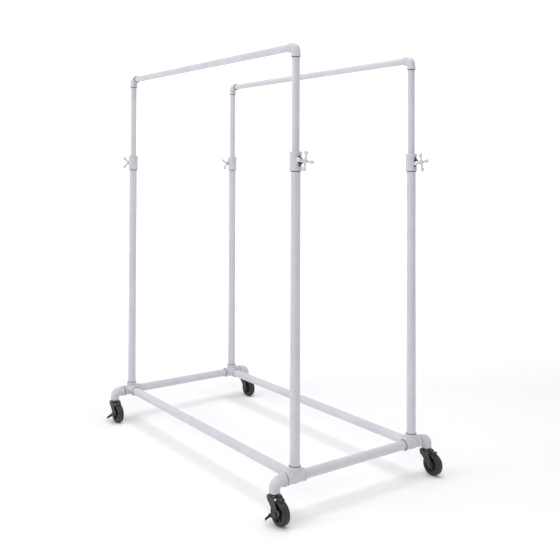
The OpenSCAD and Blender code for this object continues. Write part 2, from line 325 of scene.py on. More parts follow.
def hexagon(p, axis, low, high, across_flats):
    """A hexagonal bar along one axis, with the corners turned off at both ends."""
    others = [i for i in range(3) if i != axis]
    u, v = p[..., others[0]], p[..., others[1]]
    flats = [np.abs(u * math.cos(a) + v * math.sin(a)) for a in (0, math.pi / 3, 2 * math.pi / 3)]
    side = np.maximum.reduce(flats) - across_flats / 2
    cap = np.abs(p[..., axis] - (low + high) / 2) - (high - low) / 2
    chamfer = (np.hypot(u, v) - across_flats / 2 * 1.05 + cap * 1.7) / 2
    return np.maximum(np.maximum(side, cap), chamfer)


def bend(p, centre, radius, thickness, u, v):
    """A quarter of a ring: from direction u to direction v about its centre."""
    offset = p - np.array(centre, float)
    u, v = np.array(u, float), np.array(v, float)
    angle = np.clip(np.arctan2(offset @ v, offset @ u), 0, math.pi / 2)
    nearest = radius * (np.cos(angle)[..., None] * u + np.sin(angle)[..., None] * v)
    return np.linalg.norm(offset - nearest, axis=-1) - thickness


def fuse(a, b, blend=0.0):
    """Joins two shapes, with a fillet about this wide."""
    if not blend:
        return np.minimum(a, b)
    h = np.maximum(blend - np.abs(a - b), 0) / blend
    return np.minimum(a, b) - h * h * blend / 4


def cut(a, b, blend=0.0):
    """Takes b out of a, with the rim eased by blend."""
    return -fuse(-a, b, blend)


def mesh_of(field, low, high, cell):
    """Quads over a field's zero surface: one point in each crossed cell, drawn on to the surface."""
    low = np.array(low, float)
    counts = np.ceil((np.array(high, float) - low) / cell).astype(int) + 1
    ticks = [low[i] + cell * np.arange(counts[i]) for i in range(3)]
    value = field(np.stack(np.meshgrid(*ticks, indexing="ij"), -1))
    cells = counts - 1
    total = np.zeros((cells.prod(), 3))
    hits = np.zeros(cells.prod())
    quads = []
    for axis in range(3):
        side_a, side_b = [i for i in range(3) if i != axis]
        first = np.take(value, range(counts[axis] - 1), axis)
        second = np.take(value, range(1, counts[axis]), axis)
        edge = np.argwhere((first < 0) != (second < 0))
        v0, v1 = first[tuple(edge.T)], second[tuple(edge.T)]
        point = low + cell * edge.astype(float)
        point[:, axis] += cell * v0 / (v0 - v1)
        around = []
        for step_a, step_b in ((0, 0), (-1, 0), (-1, -1), (0, -1)):
            near = edge.copy()
            near[:, side_a] += step_a
            near[:, side_b] += step_b
            place = np.ravel_multi_index(near.T, cells, mode="clip")
            np.add.at(total, place, point)
            np.add.at(hits, place, 1)
            around.append(place)
        ring = np.stack(around, 1)
        turn = (v0 < 0) != (axis == 1)
        quads.append(np.where(turn[:, None], ring, ring[:, ::-1]))
    used = np.flatnonzero(hits)
    number = np.zeros(len(hits), int)
    number[used] = np.arange(len(used))
    points = total[used] / hits[used][:, None]
    for _ in range(3):
        points -= np.clip(field(points), -cell / 2, cell / 2)[:, None] * slope(field, points)
    return points, number[np.concatenate(quads)]


def slope(field, points, step=0.05):
    """The direction in which a field grows, at each point."""
    grown = []
    for axis in range(3):
        shift = np.zeros(3)
        shift[axis] = step
        grown.append(field(points + shift) - field(points - shift))
    grown = np.stack(grown, -1)
    return grown / np.maximum(np.linalg.norm(grown, axis=-1, keepdims=True), 1e-9)


# ---------------------------------------------------------------- turned shapes


def eased(outline, radius):
    """A closed outline with each corner replaced by a short arc."""
    out = []
    count = len(outline)
    for i, corner in enumerate(outline):
        here = np.array(corner, float)
        before = np.array(outline[i - 1], float) - here
        after = np.array(outline[(i + 1) % count], float) - here
        reach = min(radius, np.linalg.norm(before) * 0.45, np.linalg.norm(after) * 0.45)
        a = here + before / np.linalg.norm(before) * reach
        b = here + after / np.linalg.norm(after) * reach
        for t in (0, 0.25, 0.5, 0.75, 1):
            out.append((1 - t) ** 2 * a + 2 * t * (1 - t) * here + t * t * b)
    return np.array(out)


def turned(outline, sides=72):
    """Revolves a closed outline of (radius, height) about +Z, counter-clockwise seen with
    the radius to the right and the height up."""
    outline = np.array(outline, float)
    angle = 2 * math.pi * np.arange(sides) / sides
    radius, height = outline[:, 0], outline[:, 1]
    points = np.stack([np.outer(np.cos(angle), radius), np.outer(np.sin(angle), radius),
                       np.broadcast_to(height, (sides, len(outline)))], -1).reshape(-1, 3)
    ring, step = np.meshgrid(np.arange(sides), np.arange(len(outline)), indexing="ij")
    next_ring, next_step = (ring + 1) % sides, (step + 1) % len(outline)
    corners = [(ring, step), (next_ring, step), (next_ring, next_step), (ring, next_step)]
    quads = np.stack([a * len(outline) + b for a, b in corners], -1).reshape(-1, 4)
    return points, quads


def tube_outline(radius, wall, length):
    """A tube's wall, with its rims eased and an extra ring every 60 mm or so."""
    steps = np.linspace(0, length, int(length / 60) + 2)
    outer = [(radius, z) for z in steps]
    inner = [(radius - wall, z) for z in steps[::-1]]
    return eased(outer + inner, 0.5)


def threaded(radius, pitch, depth, start, end, bore=0.0, sides=40):
    """A threaded bar along +Z: its flank rises and falls once a pitch as it winds."""
    rows = int((end - start) / pitch * 8) + 1
    height = np.linspace(start, end, rows)
    angle = 2 * math.pi * np.arange(sides) / sides
    phase = (height[:, None] / pitch - angle[None, :] / (2 * math.pi)) % 1
    fade = np.clip(np.minimum(height - start, end - height) / pitch, 0, 1)[:, None]
    r = radius - depth * (1 - np.abs(2 * phase - 1) * fade)
    points = np.stack([r * np.cos(angle), r * np.sin(angle),
                       np.broadcast_to(height[:, None], r.shape)], -1).reshape(-1, 3)
    row, side = np.meshgrid(np.arange(rows - 1), np.arange(sides), indexing="ij")
    after = (side + 1) % sides
    quads = np.stack([row * sides + side, row * sides + after,
                      (row + 1) * sides + after, (row + 1) * sides + side], -1).reshape(-1, 4)
    if bore:
        inner = np.stack([bore * np.cos(angle), bore * np.sin(angle)], -1)
        low = np.column_stack([inner, np.full(sides, start)])
        high = np.column_stack([inner, np.full(sides, end)])
        first = len(points)
        points = np.concatenate([points, low, high])
        s = np.arange(sides)
        n = (s + 1) % sides
        a, b, top = first, first + sides, (rows - 1) * sides
        quads = np.concatenate([quads, np.stack([a + s, b + s, b + n, a + n], -1),
                                np.stack([s, a + s, a + n, n], -1),
                                np.stack([top + s, top + n, b + n, b + s], -1)])
        return points, quads
    centres = [[0, 0, start], [0, 0, end]]
    first = len(points)
    points = np.concatenate([points, centres])
    s = np.arange(sides)
    n = (s + 1) % sides
    top = (rows - 1) * sides
    caps = [np.stack([n, s, np.full(sides, first)], -1),
            np.stack([top + s, top + n, np.full(sides, first + 1)], -1)]
    return points, [*quads.tolist(), *np.concatenate(caps).tolist()]


# ---------------------------------------------------------------- placing and making pieces

ALONG_X = Matrix(((0, 0, 1), (0, 1, 0), (-1, 0, 0)))
ALONG_Y = Matrix(((1, 0, 0), (0, 0, 1), (0, -1, 0)))


def placed(mesh, at=(0, 0, 0), turn=None, mirror=(1, 1, 1)):
    """A mesh turned, then mirrored on the axes marked -1, then moved."""
    points, faces = mesh
    if turn is not None:
        points = points @ np.array(turn).T
    points = points * np.array(mirror) + np.array(at)
    flipped = np.prod(mirror) < 0
    if flipped:
        faces = faces[:, ::-1] if isinstance(faces, np.ndarray) else [f[::-1] for f in faces]
    return points, faces


def joined(*meshes):
    """Several meshes as one."""
    points, faces, first = [], [], 0
    for some_points, some_faces in meshes:
        points.append(some_points)
        faces += [[first + i for i in face] for face in some_faces]
        first += len(some_points)
    return np.concatenate(points), faces


def piece(name, mesh, body, materials, stands_for=(), paint=None, crease=38):
    """Makes one object from a mesh in millimetres. paint(centres) gives each face's material."""
    points, faces = mesh
    data = bpy.data.meshes.new(name)
    data.from_pydata((points * 0.001).tolist(), [], faces if isinstance(faces, list)
                     else faces.tolist())
    for material in materials:
        data.materials.append(MATERIALS[material])
    if paint is not None:
        centres = np.array([points[list(face)].mean(0) for face in faces])
        data.polygons.foreach_set("material_index", paint(centres).astype(np.int32))
    data.shade_smooth()
    data.set_sharp_from_angle(angle=math.radians(crease))
    data.update()
    made = bpy.data.objects.new(name, data)
    bpy.context.scene.collection.objects.link(made)
    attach(made, body)
    if stands_for:
        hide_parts(*stands_for)
    return made


def sides_of(corner):
    """Which way out is at a corner: (-1 or 1 along X, -1 or 1 along Y)."""
    return (1 if "right" in corner else -1), (1 if "back" in corner else -1)


def post_at(corner, z):
    x, y, _ = middle(f"{corner}_lower_post")
    return np.array([x, y, z])


# ---------------------------------------------------------------- tubes


def tube_piece(node, axis, radius, wall, body):
    """A tube over the CAD node's own length, its ends cut square and eased."""
    low, high = box_mm(node)
    mesh = turned(tube_outline(radius, wall, (high - low)[axis]), 72)
    at = (low + high) / 2
    at[axis] = low[axis]
    turn = {0: ALONG_X, 1: ALONG_Y, 2: None}[axis]
    return piece(f"{node}_tube", placed(mesh, at, turn), body, ["tube_coat"], [node])


for node in ("front_base_rail", "back_base_rail"):
    tube_piece(node, 0, LOWER_R, LOWER_WALL, "base")
for node in ("left_base_rail", "right_base_rail"):
    tube_piece(node, 1, LOWER_R, LOWER_WALL, "base")
for side in ("front", "back"):
    tube_piece(f"{side}_hang_rail", 0, UPPER_R, UPPER_WALL, f"{side}_frame")
for corner in CORNERS:
    tube_piece(f"{corner}_lower_post", 2, LOWER_R, LOWER_WALL, "base")
    tube_piece(f"{corner}_upper_post", 2, UPPER_R, UPPER_WALL, f"{corner.split('_')[0]}_frame")

# ---------------------------------------------------------------- base castings

CAST_CELL = 1.0
BODY_R = 19.0
BAND_R = 20.75
MOUTH_DEPTH = 3.0
MOUTH_GAP = 1.9
NIPPLE_R = 13.5


def mouth(body, p, direction, reach, band_r, band_w, tube_r, seat):
    """Rolls a band round a leg's end and opens the socket and the shadow gap in it."""
    way = np.array(direction, float)
    body = fuse(body, rod(p, way * (reach - band_w), way * reach, band_r, 1.7), 0.9)
    body = cut(body, rod(p, way * seat, way * (reach + 5), tube_r))
    return cut(body, rod(p, way * (reach - MOUTH_DEPTH), way * (reach + 5), tube_r + MOUTH_GAP), 0.6)


def tee_field(p):
    """Side-outlet tee: the run along Y, one branch up and one towards the rack's middle."""
    body = rod(p, (0, -TEE_HALF, 0), (0, TEE_HALF, 0), BODY_R)
    body = fuse(body, rod(p, (0, 0, 0), (0, 0, TEE_BRANCH), BODY_R - 0.4), 6)
    body = fuse(body, rod(p, (0, 0, 0), (-TEE_HALF, 0, 0), BODY_R - 0.4), 6)
    body = fuse(body, ball(p, (0, 0, 0), BODY_R + 0.8), 6)
    body = fuse(body, rod(p, (0, 0, TEE_BRANCH - 14), (0, 0, TEE_BRANCH - 11), BODY_R + 0.9, 1.4), 0.8)
    body = mouth(body, p, (0, 0, 1), TEE_BRANCH, BAND_R - 0.8, 9, LOWER_R, TUBE_SEAT)
    body = mouth(body, p, (-1, 0, 0), TEE_HALF, BAND_R - 0.8, 9, LOWER_R, TUBE_SEAT)
    body = mouth(body, p, (0, -1, 0), TEE_HALF, BAND_R, 9, LOWER_R, TUBE_SEAT)
    return mouth(body, p, (0, 1, 0), TEE_HALF, BAND_R, 9, NIPPLE_R + 1.3, TUBE_SEAT + 2)


def socket_shade_paint(casting, mouths):
    """1 for faces that line a socket, painted dark as painted shade in the recess; 0 for the rest."""
    points, faces = casting
    centres = points[faces].mean(1)
    dark = np.zeros(len(centres))
    for direction, reach, radius in mouths:
        way = np.array(direction, float)
        t = centres @ way
        radial = np.linalg.norm(centres - np.outer(t, way), axis=1)
        dark[(radial < radius) & (t > 10) & (t < reach - 1.2)] = 1
    return dark


TEE_MESH = mesh_of(tee_field, (-TEE_HALF - 2, -TEE_HALF - 2, -BAND_R - 2),
                   (BAND_R + 2, TEE_HALF + 2, TEE_BRANCH + 2), CAST_CELL)
# The socket linings are painted dark: painted shade in the tee's mouths.
TEE_SOCKET_SHADE = socket_shade_paint(TEE_MESH, [((0, 0, 1), TEE_BRANCH, LOWER_R + 1.6),
                                  ((-1, 0, 0), TEE_HALF, LOWER_R + 1.6),
                                  ((0, -1, 0), TEE_HALF, LOWER_R + 1.6),
                                  ((0, 1, 0), TEE_HALF, LOWER_R + 1.6)])

for corner in CORNERS:
    sx, sy = sides_of(corner)
    piece(f"{corner}_tee_casting", placed(TEE_MESH, post_at(corner, BASE_Z), mirror=(sx, sy, 1)),
          "base", ["cast_coat", "thread"], [f"{corner}_tee"],
          paint=lambda centres: TEE_SOCKET_SHADE)

FOOT_R = 16.2
FOOT_BEND = 19.0
FOOT_DROP = BASE_Z - FOOT_BOTTOM
STEM_REACH = abs(pivot("front_left_caster_swivel")[1]) - abs(middle("front_left_lower_post")[1])
FOOT_REACH = STEM_REACH - (box_mm("front_left_tee")[1][1] - middle("front_left_tee")[1]) - 3
STEM_R = 6.0


def foot_elbow_field(p):
    """Quarter bend from the nipple, along -Y, down to the caster's stem."""
    body = rod(p, (0, -FOOT_BEND, 0), (0, -FOOT_REACH, 0), FOOT_R + 2.1)
    body = fuse(body, bend(p, (0, -FOOT_BEND, -FOOT_BEND), FOOT_BEND, FOOT_R + 1.3,
                           (0, 0, 1), (0, 1, 0)), 2)
    body = fuse(body, rod(p, (0, 0, -FOOT_BEND), (0, 0, -FOOT_DROP), FOOT_R), 2)
    body = fuse(body, rod(p, (0, 0, -FOOT_DROP + 6.5), (0, 0, -FOOT_DROP), FOOT_R + 1.5, 2), 1.5)
    body = mouth(body, p, (0, -1, 0), FOOT_REACH, BAND_R, 9, NIPPLE_R + 1.3, FOOT_REACH - 18)
    return cut(body, rod(p, (0, 0, -FOOT_DROP + 20), (0, 0, -FOOT_DROP - 5), STEM_R), 0.5)


FOOT_MESH = mesh_of(foot_elbow_field, (-BAND_R - 2, -FOOT_REACH - 2, -FOOT_DROP - 2),
                    (BAND_R + 2, FOOT_R + 4, BAND_R + 2), CAST_CELL)
# The nipple socket's lining is painted dark: painted shade in the foot casting's mouth.
FOOT_SOCKET_SHADE = socket_shade_paint(FOOT_MESH, [((0, -1, 0), FOOT_REACH, NIPPLE_R + 3)])

for corner in CORNERS:
    sx, sy = sides_of(corner)
    stem = pivot(f"{corner}_caster_swivel")
    piece(f"{corner}_foot_casting", placed(FOOT_MESH, (stem[0], stem[1], BASE_Z), mirror=(sx, sy, 1)),
          "base", ["cast_coat", "thread"], [f"{corner}_foot_elbow"],
          paint=lambda centres: FOOT_SOCKET_SHADE)

# ---------------------------------------------------------------- height couplings

COUPLING_R = 19.75
COUPLING_BAND_R = 21.0
COUPLING_SEAT = box_mm("front_left_lower_post")[1][2] - COUPLING_LOW
BOSS_R = 10.0
BOSS_REACH = box_mm("front_right_coupling")[1][0] - middle("front_right_lower_post")[0]
RING_R = 11.0
RING_LOW = BOSS_REACH - 8
RING_HIGH = BOSS_REACH - 3
SLOT_W = 8.0
SLOT_H = 34.0
SCREW_R = 5.0


def coupling_field(p):
    """A sleeve over the top of a lower post. The clamp screw's boss stands out of a slot in its
    outer side and ends in a lock ring."""
    top = COUPLING_LENGTH
    body = rod(p, (0, 0, 0), (0, 0, top), COUPLING_R, 1)
    body = fuse(body, rod(p, (0, 0, 0), (0, 0, 6), COUPLING_BAND_R, 1.3), 0.8)
    body = fuse(body, rod(p, (0, 0, top - 8), (0, 0, top), COUPLING_BAND_R, 1.3), 0.8)
    body = cut(body, block(p, (COUPLING_R + 1, 0, CLAMP_RISE), (6, SLOT_W, SLOT_H), 1.5), 0.4)
    boss = rod(p, (5, 0, CLAMP_RISE), (RING_HIGH, 0, CLAMP_RISE), BOSS_R, 1)
    flare = np.hypot(p[..., 1], p[..., 2] - CLAMP_RISE) - BOSS_R - 0.15 * (RING_LOW - p[..., 0])
    boss = fuse(boss, np.maximum(flare, np.maximum(p[..., 0] - RING_LOW, 5 - p[..., 0])), 1)
    body = fuse(body, boss, 1.0)
    body = cut(body, rod(p, (0, 0, -5), (0, 0, COUPLING_SEAT), LOWER_R))
    body = cut(body, rod(p, (0, 0, -5), (0, 0, 2), LOWER_R + MOUTH_GAP), 0.6)
    body = cut(body, rod(p, (0, 0, -5), (0, 0, top + 5), UPPER_R + 0.5))
    body = cut(body, rod(p, (0, 0, top - 2.5), (0, 0, top + 5), UPPER_R + 2), 0.8)
    body = fuse(body, rod(p, (RING_LOW, 0, CLAMP_RISE), (RING_HIGH, 0, CLAMP_RISE), RING_R, 0.9), 0.3)
    return cut(body, rod(p, (0, 0, CLAMP_RISE), (BOSS_REACH + 5, 0, CLAMP_RISE), SCREW_R + 0.1), 0.5)


COUPLING_MESH = mesh_of(coupling_field, (-COUPLING_BAND_R - 2, -COUPLING_BAND_R - 2, -2),
                        (BOSS_REACH + 2, COUPLING_BAND_R + 2, COUPLING_LENGTH + 2), CAST_CELL)


def coupling_paint():
    """1 on the black lock ring, and painted shade inside the slot behind the boss; 0 on the casting."""
    x, y, z = COUPLING_MESH[0][COUPLING_MESH[1]].mean(1).T
    out = np.hypot(y, z - CLAMP_RISE)
    ring = (x > RING_LOW - 0.4) & (x < RING_HIGH + 0.2) & (out < RING_R + 1)
    # The inside of the slot round the boss is painted dark: painted shade.
    slot = (np.abs(y) < SLOT_W / 2) & (np.abs(z - CLAMP_RISE) < SLOT_H / 2)
    slot &= (x > COUPLING_R - 3.5) & (x < COUPLING_R - 0.9) & (out > BOSS_R + 1)
    return (ring | slot).astype(int)


COUPLING_RING_AND_SLOT_SHADE = coupling_paint()

for corner in CORNERS:
    sx, _ = sides_of(corner)
    casting = placed(COUPLING_MESH, post_at(corner, COUPLING_LOW), mirror=(sx, 1, 1))
    piece(f"{corner}_coupling_casting", casting, "base",
          ["cast_coat", "thread"], [f"{corner}_coupling"], paint=lambda centres: COUPLING_RING_AND_SLOT_SHADE)

# ---------------------------------------------------------------- top elbows

TOP_R = 14.5
TOP_BAND_R = 16.25
TOP_BEND = 15.6


def top_elbow_field(p):
    """Tight elbow from a sliding post up into the hang rail."""
    body = bend(p, (-TOP_BEND, 0, -TOP_BEND), TOP_BEND, TOP_R + 0.2, (1, 0, 0), (0, 0, 1))
    body = fuse(body, rod(p, (-TOP_BEND, 0, 0), (-TOP_REACH, 0, 0), TOP_R), 1.5)
    body = fuse(body, rod(p, (0, 0, -TOP_BEND), (0, 0, -TOP_REACH), TOP_R), 1.5)
    for way in ((-1, 0, 0), (0, 0, -1)):
        body = mouth(body, p, way, TOP_REACH, TOP_BAND_R, 8, UPPER_R, TOP_REACH - 15)
    return body


TOP_MESH = mesh_of(top_elbow_field, (-TOP_REACH - 2, -TOP_BAND_R - 2, -TOP_REACH - 2),
                   (TOP_R + 3, TOP_BAND_R + 2, TOP_R + 3), 0.9)
# The socket linings are painted dark: painted shade in the top elbow's mouths.
TOP_SOCKET_SHADE = socket_shade_paint(TOP_MESH, [((-1, 0, 0), TOP_REACH, UPPER_R + 1.6),
                                  ((0, 0, -1), TOP_REACH, UPPER_R + 1.6)])

for corner in CORNERS:
    sx, _ = sides_of(corner)
    piece(f"{corner}_top_casting", placed(TOP_MESH, post_at(corner, HANG_Z), mirror=(sx, 1, 1)),
          f"{corner.split('_')[0]}_frame", ["cast_coat", "thread"],
          [f"{corner}_top_elbow"], paint=lambda centres: TOP_SOCKET_SHADE)

# ---------------------------------------------------------------- bare thread ends and painted shadow lines


def thread_and_shadow_ring(radius, at, turn=None, flip=1, length=1.3):
    """The last bare turns of a tube's thread, showing in the mouth of its fitting. Given a longer length, the
    dark ring stands out below a fitting as a painted shadow line.
    """
    ring = turned([(radius - 0.5, -3.0), (radius + 0.15, -3.0), (radius + 0.55, -0.4),
                   (radius + 0.5, length - 0.6), (radius + 0.05, length), (radius - 0.5, length)], 72)
    return placed((ring[0] * np.array([1, 1, flip]), ring[1][:, ::flip]), at, turn)


def base_thread_and_shadow_rings():
    made = []
    for corner in CORNERS:
        _, sy = sides_of(corner)
        x, y, z = post_at(corner, BASE_Z)
        made += [thread_and_shadow_ring(LOWER_R, (x, y, z + TEE_BRANCH)),
                 # A longer dark ring under the coupling: a painted shadow line.
                 thread_and_shadow_ring(LOWER_R, (x, y, COUPLING_LOW), flip=-1, length=2.8),
                 thread_and_shadow_ring(LOWER_R, (x, y - sy * TEE_HALF, z), ALONG_Y, -sy)]
    return piece("base_thread_and_shadow_rings", joined(*made), "base", ["thread"])


def frame_thread_and_shadow_rings(side):
    made = []
    for corner in (f"{side}_left", f"{side}_right"):
        sx, _ = sides_of(corner)
        x, y, z = post_at(corner, HANG_Z)
        # A longer dark ring under the top elbow: a painted shadow line.
        made += [thread_and_shadow_ring(UPPER_R, (x, y, z - TOP_REACH), flip=-1, length=2.2),
                 thread_and_shadow_ring(UPPER_R, (x - sx * TOP_REACH, y, z), ALONG_X, -sx)]
    return piece(f"{side}_frame_thread_and_shadow_rings", joined(*made), f"{side}_frame", ["thread"])


base_thread_and_shadow_rings()
frame_thread_and_shadow_rings("front")
frame_thread_and_shadow_rings("back")

# ---------------------------------------------------------------- clamp screws and handles

HANDLE_ARM = 26.5
HANDLE_BALL_R = 7.4
HUB_BACK = 8.0
HUB_FRONT = 4.0
HUB_R = 7.5
WAIST_R = 3.7
PAD_GAP, PAD_THICK = 0.3, 2.5
SCREW_PITCH = 1.5
SCREW_TIP = UPPER_R + PAD_GAP + PAD_THICK


def handle_field(p):
    """A hub and four waisted arms with a ball on each, as on a valve's cross handle."""
    hub = rod(p, (-HUB_BACK, 0, 0), (HUB_FRONT, 0, 0), HUB_R, 2.2)
    hub = fuse(hub, rod(p, (HUB_FRONT - 1, 0, 0), (HUB_FRONT + 2, 0, 0), 5.4, 1.0), 1.2)
    for way in ((0, 0, 1), (0, 1, 0), (0, 0, -1), (0, -1, 0)):
        way = np.array(way, float)
        t = p @ way
        radial = np.sqrt(np.maximum((p * p).sum(-1) - t * t, 0))
        waist = WAIST_R + 0.9 * np.clip((t / HANDLE_ARM - 0.62) / 0.4, -1, 1) ** 2
        arm = np.maximum(radial - waist, np.maximum(2 - t, t - HANDLE_ARM))
        arm = fuse(arm, ball(p, way * HANDLE_ARM, HANDLE_BALL_R), 3.5)
        hub = fuse(hub, arm, 3.5)
    return cut(hub, rod(p, (-HUB_BACK - 5, 0, 0), (1, 0, 0), SCREW_R))


HANDLE_END = HANDLE_ARM + HANDLE_BALL_R + 1.5
HANDLE_MESH = mesh_of(handle_field, (-HUB_BACK - 1.5, -HANDLE_END, -HANDLE_END),
                      (HUB_FRONT + 3.5, HANDLE_END, HANDLE_END), 0.75)


def cap_screw():
    """The small slotted screw that holds a handle on, along +Z from its seat."""
    def field(p):
        head = np.maximum(ball(p, (0, 0, -3.2), 5.0), -p[..., 2])
        return cut(head, block(p, (0, 0, 2.2), (12, 1.1, 1.6)))
    return mesh_of(field, (-5, -5, -1), (5, 5, 3), 0.3)


CAP_MESH = cap_screw()

for corner in CORNERS:
    sx, _ = sides_of(corner)
    hub = pivot(f"{corner}_clamp_turn")
    post = post_at(corner, hub[2])
    turn = Matrix.Rotation(math.radians(HANDLE_TURN[corner]), 3, "X")
    piece(f"{corner}_cross_handle", placed(HANDLE_MESH, hub, turn, mirror=(sx, 1, 1)),
          f"{corner}_knob", ["enamel"], [f"{corner}_handle"])
    cap = placed(CAP_MESH, (HUB_FRONT + 1.8, 0, 0), ALONG_X)
    piece(f"{corner}_handle_cap_screw", placed(cap, hub, turn, mirror=(sx, 1, 1)),
          f"{corner}_knob", ["zinc"])
    reach = abs(hub[0] - post[0])
    screw = threaded(SCREW_R, SCREW_PITCH, 0.55, SCREW_TIP, reach - HUB_BACK + 2)
    piece(f"{corner}_threaded_screw", placed(screw, post, ALONG_X, mirror=(sx, 1, 1)),
          f"{corner}_knob", ["zinc"], [f"{corner}_clamp_screw"])

# ---------------------------------------------------------------- nipples, stems and races

NIPPLE_LENGTH = 37.0


def nipple_piece():
    """All four short threaded nipples between the tees and the foot elbows."""
    made = []
    for corner in CORNERS:
        _, sy = sides_of(corner)
        x, y, _ = middle(f"{corner}_lower_post")
        centre = y + sy * (TEE_HALF + 1.5)
        one = threaded(NIPPLE_R, 2.2, 1.0, -NIPPLE_LENGTH / 2, NIPPLE_LENGTH / 2, bore=10.5, sides=64)
        made.append(placed(one, (x, centre, BASE_Z), ALONG_Y))
    return piece("foot_nipple_threads", joined(*made), "base", ["thread"],
                 ["foot_nipples"], crease=60)


nipple_piece()

RACE_LOW, RACE_HIGH = box_mm("swivel_races")[0][2], box_mm("swivel_races")[1][2]
RACE_R = 20.0
NUT_FLATS = 22.0
PIN_OFFSETS = (-11.8, 11.8)


def stem_nut_field(p):
    nut = hexagon(p, 2, RACE_HIGH, FOOT_BOTTOM, NUT_FLATS)
    return cut(nut, rod(p, (0, 0, RACE_HIGH - 5), (0, 0, FOOT_BOTTOM + 5), STEM_R))


STEM_NUT = mesh_of(stem_nut_field, (-14, -14, RACE_HIGH - 1), (14, 14, FOOT_BOTTOM + 1), 0.4)


def stem_pieces():
    """Each caster's stem, lock nut, race pins and the rivet head under its crown, as one group. The rivet
    head is painted dark as painted shade under the crown.
    """
    made = []
    pin_z = RACE_LOW + 1.6
    pin = turned(eased([(0.01, pin_z), (2.4, pin_z), (1.9, pin_z + 1.7), (0.01, pin_z + 2.1)], 0.7), 24)
    low = box_mm("caster_stems")[0][2]
    high = box_mm("caster_stems")[1][2]
    for corner in CORNERS:
        x, y, _ = pivot(f"{corner}_caster_swivel")
        shank = turned(eased([(0.01, low + 3), (STEM_R, low + 3), (STEM_R, high), (0.01, high)], 0.6), 48)
        rivet = turned(eased([(0.01, low), (5.5, low), (8.5, low + 1.6), (8.5, low + 3),
                              (0.01, low + 3)], 0.8), 48)
        made += [placed(part, (x, y, 0)) for part in (shank, rivet, STEM_NUT)]
        made += [placed(pin, (x + dx, y + dy, 0)) for dx in PIN_OFFSETS for dy in PIN_OFFSETS]
    # The rivet head under the crown is painted dark: painted shade.
    return piece("caster_stem_hardware", joined(*made), "base", ["zinc", "thread"],
                 ["caster_stems"], paint=lambda centres: (centres[:, 2] < low + 3.2).astype(int))


def race_pieces():
    """The upper cup of each swivel head: a dished plate with its lip turned down."""
    made = []
    outline = [(STEM_R, RACE_LOW + 1.2), (11, RACE_LOW + 1.2), (14, RACE_LOW + 0.1), (RACE_R, RACE_LOW + 0.1),
               (RACE_R, RACE_LOW + 1.8), (15, RACE_LOW + 2.2), (12.5, RACE_HIGH), (STEM_R, RACE_HIGH)]
    for corner in CORNERS:
        x, y, _ = pivot(f"{corner}_caster_swivel")
        made.append(placed(turned(eased(outline, 0.7), 64), (x, y, 0)))
    return piece("swivel_race_cups", joined(*made), "base", ["black"], ["swivel_races"])


stem_pieces()
race_pieces()

# ---------------------------------------------------------------- casters

TRAIL = pivot("front_left_wheel_roll")[0] - pivot("front_left_caster_swivel")[0]
AXLE_Z = WHEEL_R
LEG_INNER = 14.5
LEG_T = 2.5
CROWN_TOP = box_mm("front_left_fork")[1][2]
CROWN_R = 21.8
AXLE_R = 4.0
BUSH_R = 6.0


def fork_outline(p):
    """The fork's side view, as the distance to a tapered cheek: crown, front edge, axle boss."""
    x, z = p[..., 0], p[..., 2]
    points = [(-17, CROWN_TOP), (17, CROWN_TOP), (TRAIL + 9.5, AXLE_Z + 4), (TRAIL + 3, AXLE_Z - 9.5),
              (TRAIL - 7, AXLE_Z - 7), (-17, CROWN_TOP - 9)]
    inside = np.full(x.shape, -1e9)
    for (ax, az), (bx, bz) in zip(points, points[1:] + points[:1]):
        length = math.hypot(bx - ax, bz - az)
        inside = np.maximum(inside, ((x - ax) * -(bz - az) + (z - az) * (bx - ax)) / length)
    boss = np.hypot(x - TRAIL, z - AXLE_Z) - 10
    return fuse(inside, boss, 4)


def fork_field(p):
    """Pressed steel: two cheeks folded down from a round crown, a front web between them, and
    a tail with a rolled end over the wheel."""
    y = np.abs(p[..., 1])
    outer = LEG_INNER + LEG_T
    outline = fork_outline(p)
    cheek = np.maximum(outline, np.maximum(y - outer, LEG_INNER - y))
    crown = rod(p, (0, 0, CROWN_TOP - 2.8), (0, 0, CROWN_TOP), CROWN_R, 1.3)
    web = block(p, (-15.8, 0, CROWN_TOP - 10), (2.5, 2 * LEG_INNER + 2, 19.4), 1)
    body = fuse(fuse(cheek, crown, 3), web, 2)
    tail = block(p, (27, 0, CROWN_TOP - 4.4), (26, 14, 4.4), 1.5)
    tail = fuse(tail, rod(p, (39, -8, CROWN_TOP - 3.4), (39, 8, CROWN_TOP - 3.4), 5.4, 2), 0.8)
    tail = cut(tail, rod(p, (TRAIL, -30, AXLE_Z), (TRAIL, 30, AXLE_Z), WHEEL_R + 1.3), 0.5)
    body = fuse(body, tail, 1.2)
    edge = np.abs(outline + 1.3) - 1.3
    flange = np.maximum(edge, np.abs(y - outer - 0.2) - 0.8)
    body = fuse(body, flange, 0.6)
    dimple = np.hypot(np.hypot(p[..., 0] - TRAIL, p[..., 2] - AXLE_Z) - 8.2, y - outer) - 0.7
    body = fuse(body, dimple, 1)
    either_side = np.stack([p[..., 0], y, p[..., 2]], -1)
    rib = rod(either_side, (2, outer - 0.3, CROWN_TOP - 10), (TRAIL - 9, outer - 0.3, AXLE_Z + 10), 1.5)
    body = fuse(body, rib, 1.5)
    body = cut(body, rod(p, (0, 0, CROWN_TOP - 20), (0, 0, CROWN_TOP + 5), STEM_R + 0.1), 0.4)
    return cut(body, rod(p, (TRAIL, -30, AXLE_Z), (TRAIL, 30, AXLE_Z), AXLE_R))


FORK_MESH = mesh_of(fork_field, (-CROWN_R - 2, -CROWN_R - 2, AXLE_Z - 13),
                    (TRAIL + 16.5, CROWN_R + 2, CROWN_TOP + 3.5), 0.7)


